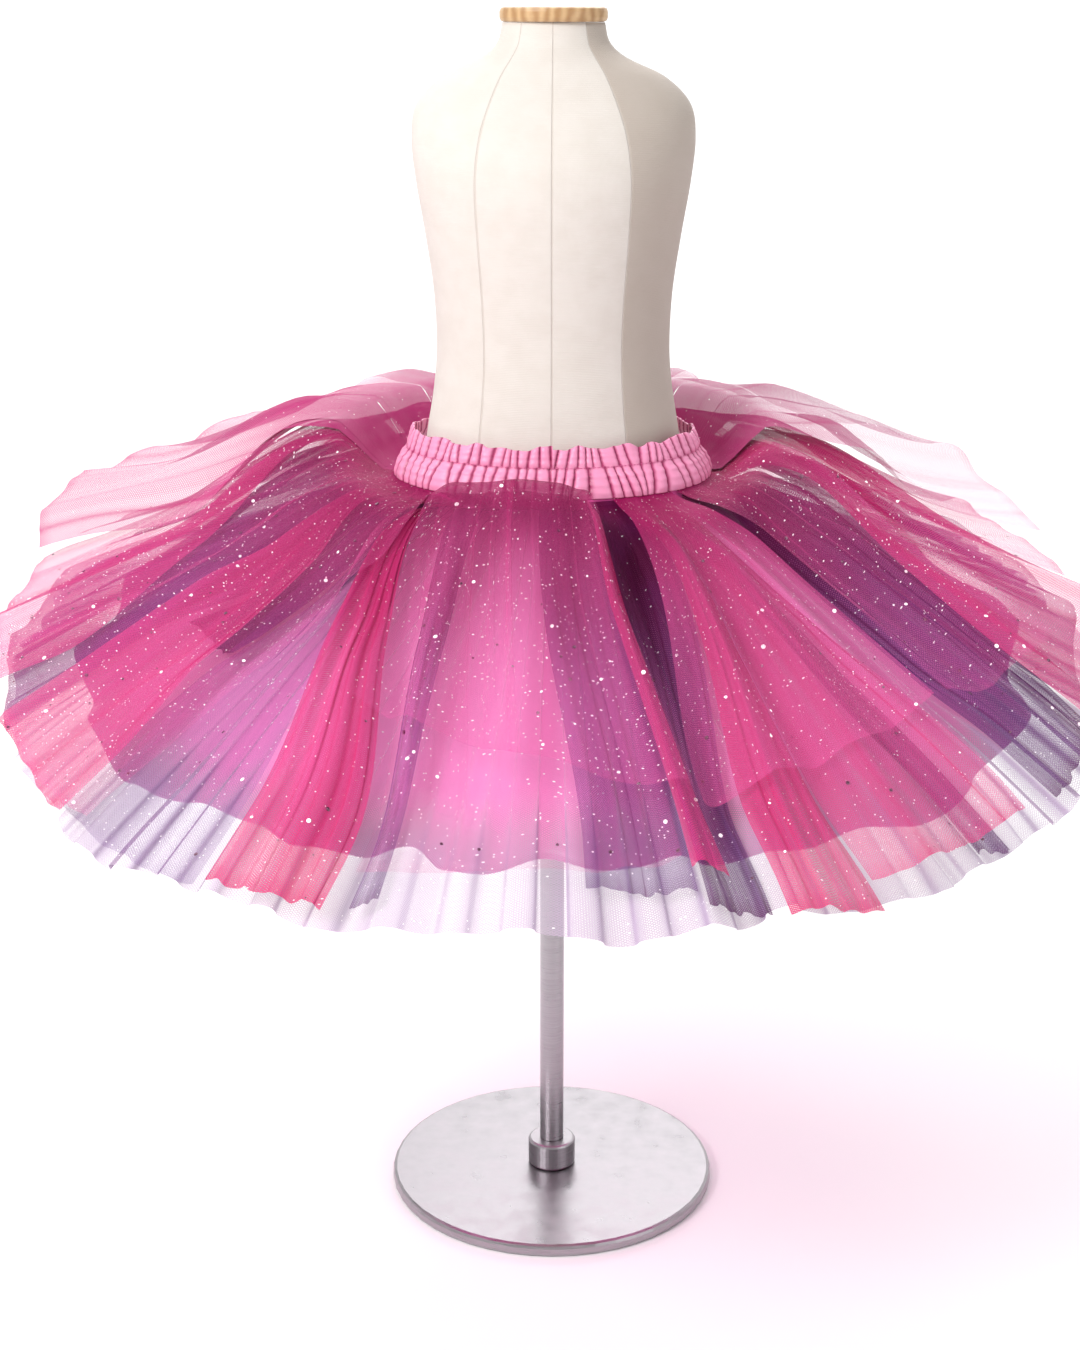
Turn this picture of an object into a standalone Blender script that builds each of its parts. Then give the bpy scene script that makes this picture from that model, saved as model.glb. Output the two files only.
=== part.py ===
"""Gathered tulle tutu on a limbless child's dress form with a round-footed pole stand.

Metres, +Z up. The floor is z = 0 under the foot's centre and the skirt's front faces -Y.
An azimuth is measured round the pole from the front (0 degrees) towards +X (90 degrees).
Every skirt layer is a sheet over one shared slope. It stands out from that slope by its own
lift, which grows from the waist seam to the hem, so the layers fan out and never cross.
"""

import math
from collections import namedtuple

import bpy

COLLECTION = "ballet_tutu"
TOUCH_GAP = 0.0003

# --- stand ---
FOOT_RADIUS = 0.130
FOOT_HEIGHT = 0.010
FOOT_BEVEL = 0.003
SOCKET_RADIUS = 0.019
SOCKET_HEIGHT = 0.022
SOCKET_BEVEL = 0.002
POLE_RADIUS = 0.0095
ROUND_SIDES = 48

# --- dress form, heights measured from the waistband's top edge ---
WAIST_TOP = 0.620
FormSection = namedtuple("FormSection", "height half_width half_depth")
FORM_SECTIONS = (
    FormSection(-0.155, 0.0720, 0.0600),
    FormSection(-0.150, 0.0860, 0.0730),
    FormSection(-0.138, 0.0960, 0.0820),
    FormSection(-0.110, 0.1025, 0.0870),
    FormSection(-0.070, 0.1015, 0.0860),
    FormSection(-0.030, 0.0965, 0.0810),
    FormSection(0.000, 0.0925, 0.0770),
    FormSection(0.030, 0.0875, 0.0735),
    FormSection(0.060, 0.0850, 0.0715),
    FormSection(0.100, 0.0865, 0.0735),
    FormSection(0.140, 0.0920, 0.0770),
    FormSection(0.180, 0.0985, 0.0780),
    FormSection(0.210, 0.1010, 0.0710),
    FormSection(0.232, 0.0965, 0.0600),
    FormSection(0.250, 0.0780, 0.0500),
    FormSection(0.262, 0.0520, 0.0430),
    FormSection(0.272, 0.0400, 0.0370),
    FormSection(0.286, 0.0360, 0.0340),
)
FORM_SIDES = 40
FORM_RINGS = 30
CAP_HEIGHT = 0.010
CAP_BEVEL = 0.003
CAP_OVERHANG = 0.002

# --- waistband: satin gathered over elastic, in two rows with a stitched groove between ---
BandRow = namedtuple("BandRow", "drop offset half_wall ripple")
BAND_ROWS = (
    BandRow(0.0000, 0.0105, 0.0008, 0.0010),
    BandRow(0.0040, 0.0118, 0.0021, 0.0018),
    BandRow(0.0120, 0.0142, 0.0014, 0.0005),
    BandRow(0.0175, 0.0180, 0.0024, 0.0018),
    BandRow(0.0260, 0.0222, 0.0024, 0.0018),
    BandRow(0.0330, 0.0240, 0.0012, 0.0008),
)
BAND_GATHERS = 36

# --- skirt slope: from the waist seam to the longest hem ---
SEAM_DROP = 0.0416
SEAM_OFFSET = 0.0240
HEM_RADIUS = 0.387
SLOPE_POWER = 1.12
FRONT_FALL = 0.208
BACK_FALL = 0.122
TURN_START = 45.0
TURN_SPAN = 75.0
WALL = 0.0010
SEAM_STEP = 0.0018

# The layers stand wider apart at the sides and back than in front.
FLARE = 0.35
FLARE_START = 40.0
FLARE_SPAN = 60.0

# A layer's order at the seam, and how far its hem stands out from the slope.
Layer = namedtuple("Layer", "order hem_lift pleat hump")
LINING = Layer(0, 0.000, 0.012, 0.00)
LONG_TULLE = Layer(1, 0.016, 0.008, 0.15)
PURPLE = Layer(2, 0.026, 0.009, 0.50)
PINK = Layer(3, 0.037, 0.011, 0.80)
TOP_SHEER = Layer(4, 0.050, 0.005, 1.00)
BACK_VEIL = Layer(4, 0.080, 0.012, 1.00)

# Height of the springy hump just outside the waist seam, by azimuth.
HumpPoint = namedtuple("HumpPoint", "azimuth height reach")
HUMP_POINTS = (
    HumpPoint(-180, 0.046, 0.120),
    HumpPoint(-130, 0.046, 0.130),
    HumpPoint(-100, 0.042, 0.090),
    HumpPoint(-82, 0.014, 0.060),
    HumpPoint(-46, 0.008, 0.050),
    HumpPoint(-24, 0.040, 0.050),
    HumpPoint(-8, 0.046, 0.050),
    HumpPoint(0, 0.043, 0.045),
    HumpPoint(22, 0.004, 0.045),
    HumpPoint(50, 0.005, 0.050),
    HumpPoint(72, 0.014, 0.060),
    HumpPoint(95, 0.040, 0.090),
    HumpPoint(130, 0.046, 0.130),
    HumpPoint(180, 0.046, 0.120),
)
HUMP_START = 0.005
HUMP_RISE = 0.022
HUMP_TAIL = 1.7

# Strips of tulle, gathered at the seam and wider at the hem. start and end are the azimuths of the
# side edges at the seam, start_hem and end_hem those at the hem, and the lengths are the shares of
# the slope that the two edges reach. A veil also has its own lift at each edge.
Strip = namedtuple(
    "Strip",
    "start start_hem end end_hem start_length end_length folds start_lift end_lift",
    defaults=(1.0, 1.0),
)
PURPLE_PANELS = (
    Strip(-4, 3, 12, 12.5, 0.92, 0.95, 4),
    Strip(13.5, 13.2, 29, 19, 0.98, 1.00, 4),
    Strip(36, 44, 44, 47, 0.97, 1.00, 3),
    Strip(56, 58, 88, 72, 0.98, 0.96, 6),
    Strip(90, 74.5, 142, 134, 0.95, 0.93, 8),
    Strip(160, 160, 196, 196, 0.93, 0.95, 6),
    Strip(216, 214, 250, 252, 0.95, 0.93, 6),
    Strip(253, 258, 299, 289, 0.96, 1.00, 8),
    Strip(300, 290, 313, 303, 0.55, 0.54, 4),
    Strip(314, 304, 318, 327, 0.97, 1.00, 5),
    Strip(331, 342, 340, 344.5, 0.98, 0.96, 3),
)
PINK_PANELS = (
    Strip(-30, -18, 8, 11.5, 0.92, 0.90, 8),
    Strip(8.7, 12, 13, 15.5, 0.92, 0.94, 2),
    Strip(28, 19.5, 33, 28, 1.02, 1.04, 4),
    Strip(34, 28.6, 44, 50, 0.98, 0.95, 5),
    Strip(84, 68, 114, 94, 1.00, 0.97, 8),
    Strip(118, 98, 142, 124, 0.97, 0.95, 6),
    Strip(148, 130, 172, 160, 0.96, 0.94, 6),
    Strip(194, 200, 236, 254, 0.96, 0.95, 7),
    Strip(240, 258, 263, 282, 0.99, 1.00, 6),
    Strip(288, 290, 296, 309, 0.97, 0.98, 4),
    Strip(317, 330, 324, 340.5, 1.00, 1.00, 4),
)
TOP_SHEER_PANELS = (
    Strip(-95, -92, -34, -46, 0.93, 0.97, 10),
    Strip(-33, -24, 10, 14, 0.58, 0.78, 10),
    Strip(24, 15, 50, 50, 0.79, 0.68, 8),
    Strip(53, 51, 88, 80, 0.70, 0.82, 7),
)
BACK_VEILS = (
    Strip(98, 106, 139, 137.4, 0.93, 0.78, 8, 0.66, 1.15),
    Strip(140, 138.6, 221, 223, 0.42, 0.42, 12, 1.15, 1.15),
    Strip(222, 224, 239.4, 244.6, 0.78, 0.88, 4, 1.15, 0.90),
    Strip(240.4, 245.6, 263, 258, 0.98, 0.95, 5, 0.90, 0.66),
)
FAN_SHARE = 0.85

# Folds: how unevenly they are spaced, and the least and most that troughs and ridges stand up.
FOLD_DRIFT = 0.5
RING_DRIFT = 0.35
TROUGH_MOST = 0.25
RIDGE_LEAST = 0.65
LINING_LENGTH = 0.865
LINING_FOLDS = 54
LINING_WAVE = 0.03
LINING_SCALLOPS = 19
LONG_FOLDS = 64

# Every sheet has its rows at the same shares of the slope, so neighbours bend together.
ROW_SHARES = (0.0, 0.02, 0.07, 0.16, 0.32, 0.56)


def hashed(number):
    """A repeatable value from 0 to 1 for a whole number."""
    value = math.sin(number * 12.9898) * 43758.5453
    return value - math.floor(value)


def between(value, low, high):
    return max(low, min(high, value))


def smooth(value):
    """0 to 1 with soft ends."""
    value = between(value, 0.0, 1.0)
    return value * value * (3.0 - 2.0 * value)


def read_table(rows, key, at):
    """The row at a place between two rows of a table, eased from one to the next."""
    for low, high in zip(rows, rows[1:]):
        start = getattr(low, key)
        end = getattr(high, key)
        if start <= at <= end:
            share = smooth((at - start) / (end - start))
            return type(low)(*(a + (b - a) * share for a, b in zip(low, high)))
    return rows[-1] if at > getattr(rows[-1], key) else rows[0]


def form_section(height):
    """The dress form's half width and half depth at a height, on a curve through the table."""
    rows = FORM_SECTIONS
    height = between(height, rows[0].height, rows[-1].height)
    index = max(i for i in range(len(rows) - 1) if rows[i].height <= height)
    low = rows[index]
    high = rows[index + 1]
    before = rows[max(index - 1, 0)]
    after = rows[min(index + 2, len(rows) - 1)]
    span = high.height - low.height
    share = (height - low.height) / span
    sizes = []
    for name in ("half_width", "half_depth"):
        p0 = getattr(low, name)
        p1 = getattr(high, name)
        m0 = (p1 - getattr(before, name)) / (high.height - before.height) * span
        m1 = (getattr(after, name) - p0) / (after.height - low.height) * span
        square = share * share
        cube = square * share
        sizes.append(
            p0 * (2 * cube - 3 * square + 1)
            + m0 * (cube - 2 * square + share)
            + p1 * (3 * square - 2 * cube)
            + m1 * (cube - square)
        )
    return sizes


def ellipse_radius(half_width, half_depth, azimuth):
    """Distance from the axis to an ellipse, in the direction of an azimuth in radians."""
    across = half_depth * math.sin(azimuth)
    forward = half_width * math.cos(azimuth)
    return half_width * half_depth / math.hypot(across, forward)


def waist_radius(offset, azimuth):
    waist = next(row for row in FORM_SECTIONS if row.height == 0.0)
    return ellipse_radius(waist.half_width + offset, waist.half_depth + offset, azimuth)


def at_azimuth(radius, azimuth, height):
    return (radius * math.sin(azimuth), -radius * math.cos(azimuth), height)


def past_front(azimuth, start, span):
    """0 in front, rising to 1 over a span of degrees that begins a way round to either side."""
    return smooth((math.degrees(abs(math.remainder(azimuth, math.tau))) - start) / span)


def slope_point(share, azimuth):
    """Radius and height of the skirt's shared slope, share 0 at the seam and 1 at the long hem."""
    seam = waist_radius(SEAM_OFFSET, azimuth)
    fall = FRONT_FALL + (BACK_FALL - FRONT_FALL) * past_front(azimuth, TURN_START, TURN_SPAN)
    radius = seam + (HEM_RADIUS - seam) * share
    height = WAIST_TOP - SEAM_DROP - fall * share**SLOPE_POWER
    return radius, height


def slope_normal(share, azimuth):
    """Unit normal of the slope in its radial plane, upwards and outwards."""
    step = 0.01
    inner = slope_point(max(share - step, 0.0), azimuth)
    outer = slope_point(max(share - step, 0.0) + 2 * step, azimuth)
    run = outer[0] - inner[0]
    rise = outer[1] - inner[1]
    length = math.hypot(run, rise)
    return -rise / length, run / length


def hump_lift(share, azimuth):
    """How far the gathered net springs up outside the waist seam."""
    degrees = math.degrees(math.remainder(azimuth, math.tau))
    point = read_table(HUMP_POINTS, "azimuth", degrees)
    seam = waist_radius(SEAM_OFFSET, azimuth)
    distance = (HEM_RADIUS - seam) * share - HUMP_START
    rise = smooth(distance / HUMP_RISE)
    fall = 1.0 - smooth((distance - HUMP_RISE) / (point.reach * HUMP_TAIL))
    return point.height * rise * fall


def layer_point(layer, share, azimuth, pleat, tilt=1.0):
    """A point on a layer. pleat is 0 in the troughs and 1 on the ridges, and tilt scales the lift."""
    radius, height = slope_point(share, azimuth)
    out, up = slope_normal(share, azimuth)
    flare = 1.0 + FLARE * past_front(azimuth, FLARE_START, FLARE_SPAN)
    lift = layer.order * SEAM_STEP
    lift += layer.hem_lift * flare * share * tilt
    lift += layer.hump * hump_lift(share, azimuth)
    lift += layer.pleat * pleat * share
    return at_azimuth(radius + out * lift, azimuth, height + up * lift)


def fold_places(folds, seed):
    """Places of a strip's ridges and troughs across it, 0 to 1, unevenly spaced."""
    inner = [(i + FOLD_DRIFT * (hashed(seed * 31 + i) - 0.5)) / folds for i in range(1, folds)]
    return [0.0, *inner, 1.0]


def fold_height(index, seed):
    """Uneven heights, low and high in turn."""
    if index % 2:
        return RIDGE_LEAST + (1.0 - RIDGE_LEAST) * hashed(seed * 57 + index)
    return TROUGH_MOST * hashed(seed * 91 + index)


def material(name, colour, roughness, metallic=0.0):
    made = bpy.data.materials.new(name)
    made.use_nodes = True
    shader = made.node_tree.nodes["Principled BSDF"]
    shader.inputs["Base Color"].default_value = (*colour, 1.0)
    shader.inputs["Roughness"].default_value = roughness
    shader.inputs["Metallic"].default_value = metallic
    made.diffuse_color = (*colour, 1.0)
    return made


def keep(made, name, finish, collection):
    """Name an object, give it its material and move it to the collection."""
    made.name = name
    made.data.name = name
    made.data.materials.clear()
    made.data.materials.append(finish)
    for old in tuple(made.users_collection):
        old.objects.unlink(made)
    collection.objects.link(made)
    made.data.shade_smooth()
    return made


def mesh_object(name, points, faces, finish, collection):
    mesh = bpy.data.meshes.new(name)
    mesh.from_pydata(points, [], faces)
    mesh.validate()
    made = bpy.data.objects.new(name, mesh)
    bpy.context.scene.collection.objects.link(made)
    return keep(made, name, finish, collection)


def turned_cylinder(name, radius, bottom, height, bevel, finish, collection):
    """An upright cylinder on the pole's axis, with rounded rims where bevel is above 0."""
    middle = bottom + height / 2
    bpy.ops.mesh.primitive_cylinder_add(
        vertices=ROUND_SIDES, radius=radius, depth=height, location=(0.0, 0.0, middle)
    )
    made = keep(bpy.context.object, name, finish, collection)
    if bevel:
        rim = made.modifiers.new("rims", "BEVEL")
        rim.width = bevel
        rim.segments = 2
        rim.limit_method = "ANGLE"
    made.data.set_sharp_from_angle(angle=math.radians(40))
    return made


def grid_faces(columns, rows, closed):
    """Quads over a grid of points listed column by column, facing up and outwards."""
    faces = []
    spans = columns if closed else columns - 1
    for i in range(spans):
        here = i * rows
        there = (i + 1) % columns * rows
        for j in range(rows - 1):
            faces.append((here + j, here + j + 1, there + j + 1, there + j))
    return faces


def cloth_sheet(name, columns, faces, finish, collection):
    """Give an open sheet its wall with Solidify, on the upper side."""
    points = [point for column in columns for point in column]
    made = mesh_object(name, points, faces, finish, collection)
    wall = made.modifiers.new("wall", "SOLIDIFY")
    wall.thickness = WALL
    wall.offset = 1.0
    wall.use_even_offset = False
    return made


def build_stand(collection):
    steel = material("brushed_steel", (0.42, 0.42, 0.44), 0.32, 1.0)
    socket_bottom = FOOT_HEIGHT + TOUCH_GAP
    pole_bottom = socket_bottom + SOCKET_HEIGHT + TOUCH_GAP
    pole_top = WAIST_TOP + FORM_SECTIONS[0].height - TOUCH_GAP
    turned_cylinder("stand_foot", FOOT_RADIUS, 0.0, FOOT_HEIGHT, FOOT_BEVEL, steel, collection)
    turned_cylinder(
        "pole_socket", SOCKET_RADIUS, socket_bottom, SOCKET_HEIGHT, SOCKET_BEVEL, steel, collection
    )
    turned_cylinder(
        "stand_pole", POLE_RADIUS, pole_bottom, pole_top - pole_bottom, 0.0, steel, collection
    )


def build_form(collection):
    """The torso is a loft of ellipses through the table of sections, closed top and bottom."""
    linen = material("cream_linen", (0.86, 0.82, 0.75), 0.85)
    wood = material("pale_wood", (0.55, 0.38, 0.22), 0.45)
    low = FORM_SECTIONS[0].height
    high = FORM_SECTIONS[-1].height
    points = []
    for ring in range(FORM_RINGS + 1):
        share = ring / FORM_RINGS
        height = low + (high - low) * (share - math.sin(math.tau * share) / math.tau * 0.75)
        half_width, half_depth = form_section(height)
        for side in range(FORM_SIDES):
            turn = math.tau * side / FORM_SIDES
            points.append((half_width * math.sin(turn), -half_depth * math.cos(turn), WAIST_TOP + height))
    faces = []
    for ring in range(FORM_RINGS):
        for side in range(FORM_SIDES):
            a = ring * FORM_SIDES + side
            b = ring * FORM_SIDES + (side + 1) % FORM_SIDES
            faces.append((a, b, b + FORM_SIDES, a + FORM_SIDES))
    faces.append(tuple(reversed(range(FORM_SIDES))))
    faces.append(tuple(FORM_RINGS * FORM_SIDES + side for side in range(FORM_SIDES)))
    mesh_object("dress_form", points, faces, linen, collection)
    turned_cylinder(
        "neck_cap",
        FORM_SECTIONS[-1].half_width + CAP_OVERHANG,
        WAIST_TOP + high + TOUCH_GAP,
        CAP_HEIGHT,
        CAP_BEVEL,
        wood,
        collection,
    )


def build_waistband(collection):
    """A closed ring whose section runs down the outer side and up the inner one."""
    satin = material("pink_satin", (0.85, 0.28, 0.52), 0.38)
    points = []
    columns = BAND_GATHERS * 2
    for column in range(columns):
        azimuth = math.tau * (column + 0.3 * (hashed(column) - 0.5)) / columns
        swell = (1.0 if column % 2 else -1.0) * (0.7 + 0.3 * hashed(column + 300))
        for row in BAND_ROWS:
            radius = waist_radius(row.offset + row.half_wall + row.ripple * swell, azimuth)
            points.append(at_azimuth(radius, azimuth, WAIST_TOP - row.drop))
        for row in reversed(BAND_ROWS):
            radius = waist_radius(row.offset - row.half_wall + row.ripple * swell, azimuth)
            points.append(at_azimuth(radius, azimuth, WAIST_TOP - row.drop))
    section = 2 * len(BAND_ROWS)
    faces = []
    for column in range(columns):
        here = column * section
        there = (column + 1) % columns * section
        for j in range(section):
            k = (j + 1) % section
            faces.append((here + j, here + k, there + k, there + j))
    mesh_object("waistband", points, faces, satin, collection)


def row_shares(length):
    return (*ROW_SHARES, length)


def build_ring_layer(name, layer, folds, length, wave, finish, collection):
    """A layer that goes all round. wave shortens the hem between its scallops."""
    columns = []
    for fold in range(folds):
        azimuth = math.tau * (fold + RING_DRIFT * (hashed(layer.order * 17 + fold) - 0.5)) / folds
        reach = length - wave * (0.5 + 0.5 * math.cos(azimuth * LINING_SCALLOPS))
        pleat = fold_height(fold, layer.order)
        columns.append([layer_point(layer, share, azimuth, pleat) for share in row_shares(reach)])
    faces = grid_faces(folds, len(ROW_SHARES) + 1, closed=True)
    cloth_sheet(name, columns, faces, finish, collection)


def strip_azimuth(strip, across, share):
    """Azimuth in radians at a place across a strip, as it fans out towards the hem."""
    fan = smooth(share / FAN_SHARE)
    start = strip.start + (strip.start_hem - strip.start) * fan
    end = strip.end + (strip.end_hem - strip.end) * fan
    return math.radians(start + (end - start) * across)


def build_strip(name, layer, strip, seed, finish, collection):
    columns = []
    for index, across in enumerate(fold_places(strip.folds, seed)):
        length = strip.start_length + (strip.end_length - strip.start_length) * across
        pleat = fold_height(index, seed)
        tilt = strip.start_lift + (strip.end_lift - strip.start_lift) * across
        column = []
        for share in row_shares(length):
            azimuth = strip_azimuth(strip, across, share)
            column.append(layer_point(layer, share, azimuth, pleat, tilt))
        columns.append(column)
    faces = grid_faces(strip.folds + 1, len(ROW_SHARES) + 1, closed=False)
    cloth_sheet(name, columns, faces, finish, collection)


def build_skirt(collection):
    satin = material("lining_satin", (0.83, 0.25, 0.55), 0.30)
    pale = material("pale_tulle", (0.78, 0.68, 0.74), 0.80)
    purple = material("purple_tulle", (0.28, 0.10, 0.33), 0.80)
    pink = material("pink_tulle", (0.76, 0.05, 0.22), 0.80)
    sheer = material("sheer_pink_tulle", (0.80, 0.30, 0.45), 0.80)
    build_ring_layer("satin_lining", LINING, LINING_FOLDS, LINING_LENGTH, LINING_WAVE, satin, collection)
    build_ring_layer("long_tulle", LONG_TULLE, LONG_FOLDS, 1.0, 0.0, pale, collection)
    groups = (
        ("purple_panel", PURPLE, PURPLE_PANELS, purple),
        ("pink_panel", PINK, PINK_PANELS, pink),
        ("top_sheer", TOP_SHEER, TOP_SHEER_PANELS, sheer),
        ("back_veil", BACK_VEIL, BACK_VEILS, sheer),
    )
    for label, layer, strips, finish in groups:
        for number, strip in enumerate(strips, start=1):
            seed = layer.order * 20 + number
            build_strip(f"{label}_{number}", layer, strip, seed, finish, collection)


def main():
    for old in tuple(bpy.data.objects):
        bpy.data.objects.remove(old, do_unlink=True)
    collection = bpy.data.collections.new(COLLECTION)
    bpy.context.scene.collection.children.link(collection)
    build_stand(collection)
    build_form(collection)
    build_waistband(collection)
    build_skirt(collection)


main()
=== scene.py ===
# %% [markdown]
# # A gathered tulle tutu on a child's dress form
# Everything is in metres with +Z up. The floor is z = 0 under the middle of the stand's foot, and
# the front of the skirt faces -Y. An azimuth is measured round the pole, in degrees, from the
# front (0) towards +X (90), so the side at -X has negative azimuths.

import math
from collections import namedtuple

import bpy
import numpy as np
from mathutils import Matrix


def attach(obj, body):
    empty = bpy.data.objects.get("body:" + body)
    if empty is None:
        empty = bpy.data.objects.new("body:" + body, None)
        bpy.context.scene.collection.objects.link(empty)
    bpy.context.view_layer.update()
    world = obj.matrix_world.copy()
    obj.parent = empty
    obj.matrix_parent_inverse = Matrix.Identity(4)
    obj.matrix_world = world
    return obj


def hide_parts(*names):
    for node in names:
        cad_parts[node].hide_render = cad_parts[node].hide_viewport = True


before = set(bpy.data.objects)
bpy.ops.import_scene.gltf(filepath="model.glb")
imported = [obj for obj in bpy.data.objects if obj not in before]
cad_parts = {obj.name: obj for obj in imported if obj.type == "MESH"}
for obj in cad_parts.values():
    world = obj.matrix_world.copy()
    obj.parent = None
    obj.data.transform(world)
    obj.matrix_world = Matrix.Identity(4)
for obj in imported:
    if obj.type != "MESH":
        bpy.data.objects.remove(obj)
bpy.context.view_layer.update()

# %% [markdown]
# ## Small numeric helpers
# Cloth is never regular. `wander` gives a smooth random curve from a whole-number seed, so the
# same script makes the same creases each time. `eased` reads a short table of given places
# with soft steps from one row to the next.

# %% Numeric helpers
HASH_STEP = 12.9898
HASH_SPREAD = 43758.5453
SEED_STEP = 101.7


def hashed(number):
    """A number between 0 and 1 that looks random, and is the same each time."""
    value = np.sin(np.asarray(number, dtype=float) * HASH_STEP) * HASH_SPREAD
    return value - np.floor(value)


def smooth(value):
    value = np.clip(value, 0.0, 1.0)
    return value * value * (3.0 - 2.0 * value)


def wander(at, seed):
    """A smooth random curve between 0 and 1 with about one change in each unit of `at`."""
    at = np.asarray(at, dtype=float)
    low = np.floor(at)
    share = smooth(at - low)
    key = low + seed * SEED_STEP
    return hashed(key) * (1.0 - share) + hashed(key + 1.0) * share


def eased(table, at):
    """Read the columns of a table after its first, eased from row to row, at places `at`."""
    keys = np.array([row[0] for row in table], dtype=float)
    values = np.array([row[1:] for row in table], dtype=float)
    index = np.clip(np.searchsorted(keys, at, side="right") - 1, 0, len(keys) - 2)
    share = smooth((at - keys[index]) / (keys[index + 1] - keys[index]))
    return [column[index] * (1.0 - share) + column[index + 1] * share for column in values.T]


def rows_of(kind, *rows):
    """A table of given sizes, each row with the names of its kind."""
    return tuple(kind(*row) for row in rows)


def turned(azimuth):
    """An azimuth brought into -180 to 180 degrees."""
    return (azimuth + 180.0) % 360.0 - 180.0

print("wander:", [round(float(wander(at, 1)), 3) for at in (0.5, 1.5, 2.5)])

# %% [markdown]
# ## The skirt's shared slope
# Every layer hangs on one slope from the waist seam to the hem, and stands out from it by its own
# lift. These are the same sizes and rules as the solids of the part, so each sheet of cloth lies
# on its solid. The net springs up in a hump just outside the seam, as stiff tulle does when it is
# gathered tightly.

# %% Slope of the skirt
WAIST_TOP = 0.620
WAIST_HALF_WIDTH = 0.0925
WAIST_HALF_DEPTH = 0.0770
SEAM_DROP = 0.0416
SEAM_OFFSET = 0.0240
HEM_RADIUS = 0.387
SLOPE_POWER = 1.12
FRONT_FALL = 0.208
BACK_FALL = 0.122
SEAM_STEP = 0.0018
TUCK_DROP = 0.0330
TUCK_OFFSET = 0.0232
TURN_START = 45.0
TURN_SPAN = 75.0
FLARE = 0.35
FLARE_START = 40.0
FLARE_SPAN = 60.0

Layer = namedtuple("Layer", "order hem_lift pleat hump")
LINING = Layer(0, 0.000, 0.012, 0.00)
LONG_TULLE = Layer(1, 0.016, 0.008, 0.15)
PURPLE = Layer(2, 0.026, 0.009, 0.50)
PINK = Layer(3, 0.037, 0.011, 0.80)
TOP_SHEER = Layer(4, 0.050, 0.005, 1.00)
BACK_VEIL = Layer(4, 0.080, 0.012, 1.00)

HumpPoint = namedtuple("HumpPoint", "azimuth height reach")
HUMP_POINTS = rows_of(
    HumpPoint,
    (-180, 0.046, 0.12), (-130, 0.046, 0.13), (-100, 0.042, 0.09), (-82, 0.014, 0.06),
    (-46, 0.008, 0.05), (-24, 0.04, 0.05), (-8, 0.046, 0.05), (0, 0.043, 0.045),
    (22, 0.004, 0.045), (50, 0.005, 0.05), (72, 0.014, 0.06), (95, 0.04, 0.09),
    (130, 0.046, 0.13), (180, 0.046, 0.12),
)
HUMP_START = 0.005
HUMP_RISE = 0.022
HUMP_TAIL = 1.7
FAN_SHARE = 0.85

# The main creases, as azimuths at the seam and the hem. rise above 0 is a ridge, below 0 a trough.
# start and stop are the shares of the slope between which it stands. It comes in over CREASE_IN
# and dies away over CREASE_OUT, and each layer further out shows it a little more.
CREASE_IN = 0.18
CREASE_OUT = 0.22
CREASE_GAIN = 0.15
Crease = namedtuple("Crease", "seam hem width rise start stop")
CREASES = rows_of(
    Crease,
    (-118, -104, 5.0, 0.007, 0.1, 0.9), (-106, -95, 3.5, -0.005, 0.2, 0.7),
    (-97, -86, 4.0, 0.008, 0.05, 1.0), (-84, -77, 3.0, -0.006, 0.15, 0.8),
    (-74, -68, 3.5, 0.006, 0.3, 1.0), (-62, -60, 4.5, -0.007, 0.1, 0.55),
    (-56, -52, 3.0, 0.005, 0.45, 1.0), (-50, -46, 2.2, -0.004, 0.25, 0.75),
    (-42, -31, 2.2, 0.008, 0.04, 1.0), (-37, -25, 2.0, 0.004, 0.35, 1.0),
    (-31, -19, 2.4, -0.007, 0.08, 0.85), (-22, -15, 3.0, 0.004, 0.1, 0.6),
    (-12, -9, 3.0, -0.003, 0.3, 0.7), (-3, 0, 4.0, 0.004, 0.15, 0.95),
    (9, 13, 2.2, 0.011, 0.02, 1.0), (18, 17, 3.2, -0.01, 0.02, 0.75),
    (29, 22, 2.6, 0.008, 0.05, 1.0), (34, 29, 2.0, -0.005, 0.3, 0.8),
    (39, 35, 2.6, 0.006, 0.1, 0.95), (45, 43, 2.4, -0.005, 0.4, 1.0),
    (52, 52, 2.8, 0.007, 0.05, 0.85), (62, 60, 3.4, -0.007, 0.05, 0.6),
    (72, 66, 3.0, 0.006, 0.2, 1.0), (84, 71, 2.8, 0.007, 0.05, 0.8),
    (95, 82, 4.0, -0.006, 0.2, 0.9), (106, 92, 3.6, 0.008, 0.1, 1.0),
    (120, 108, 4.4, -0.005, 0.25, 0.75), (131, 121, 3.4, 0.006, 0.15, 1.0),
    (145, 138, 4.0, -0.006, 0.3, 0.8), (157, 152, 3.2, 0.007, 0.2, 1.0),
    (171, 168, 3.8, -0.005, 0.15, 0.7), (184, 183, 3.6, 0.007, 0.25, 1.0),
    (199, 203, 3.0, -0.006, 0.2, 0.85), (212, 217, 4.2, 0.006, 0.1, 0.95),
    (226, 234, 3.4, -0.005, 0.3, 0.8),
)


def waist_radius(offset, azimuth):
    """Distance from the pole's axis to the waist ellipse, made larger by `offset`."""
    turn = np.radians(azimuth)
    half_width = WAIST_HALF_WIDTH + offset
    half_depth = WAIST_HALF_DEPTH + offset
    return half_width * half_depth / np.hypot(half_depth * np.sin(turn), half_width * np.cos(turn))


def at_azimuth(radius, azimuth, height):
    turn = np.radians(azimuth)
    return np.stack(np.broadcast_arrays(radius * np.sin(turn), -radius * np.cos(turn), height), axis=-1)


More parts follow.
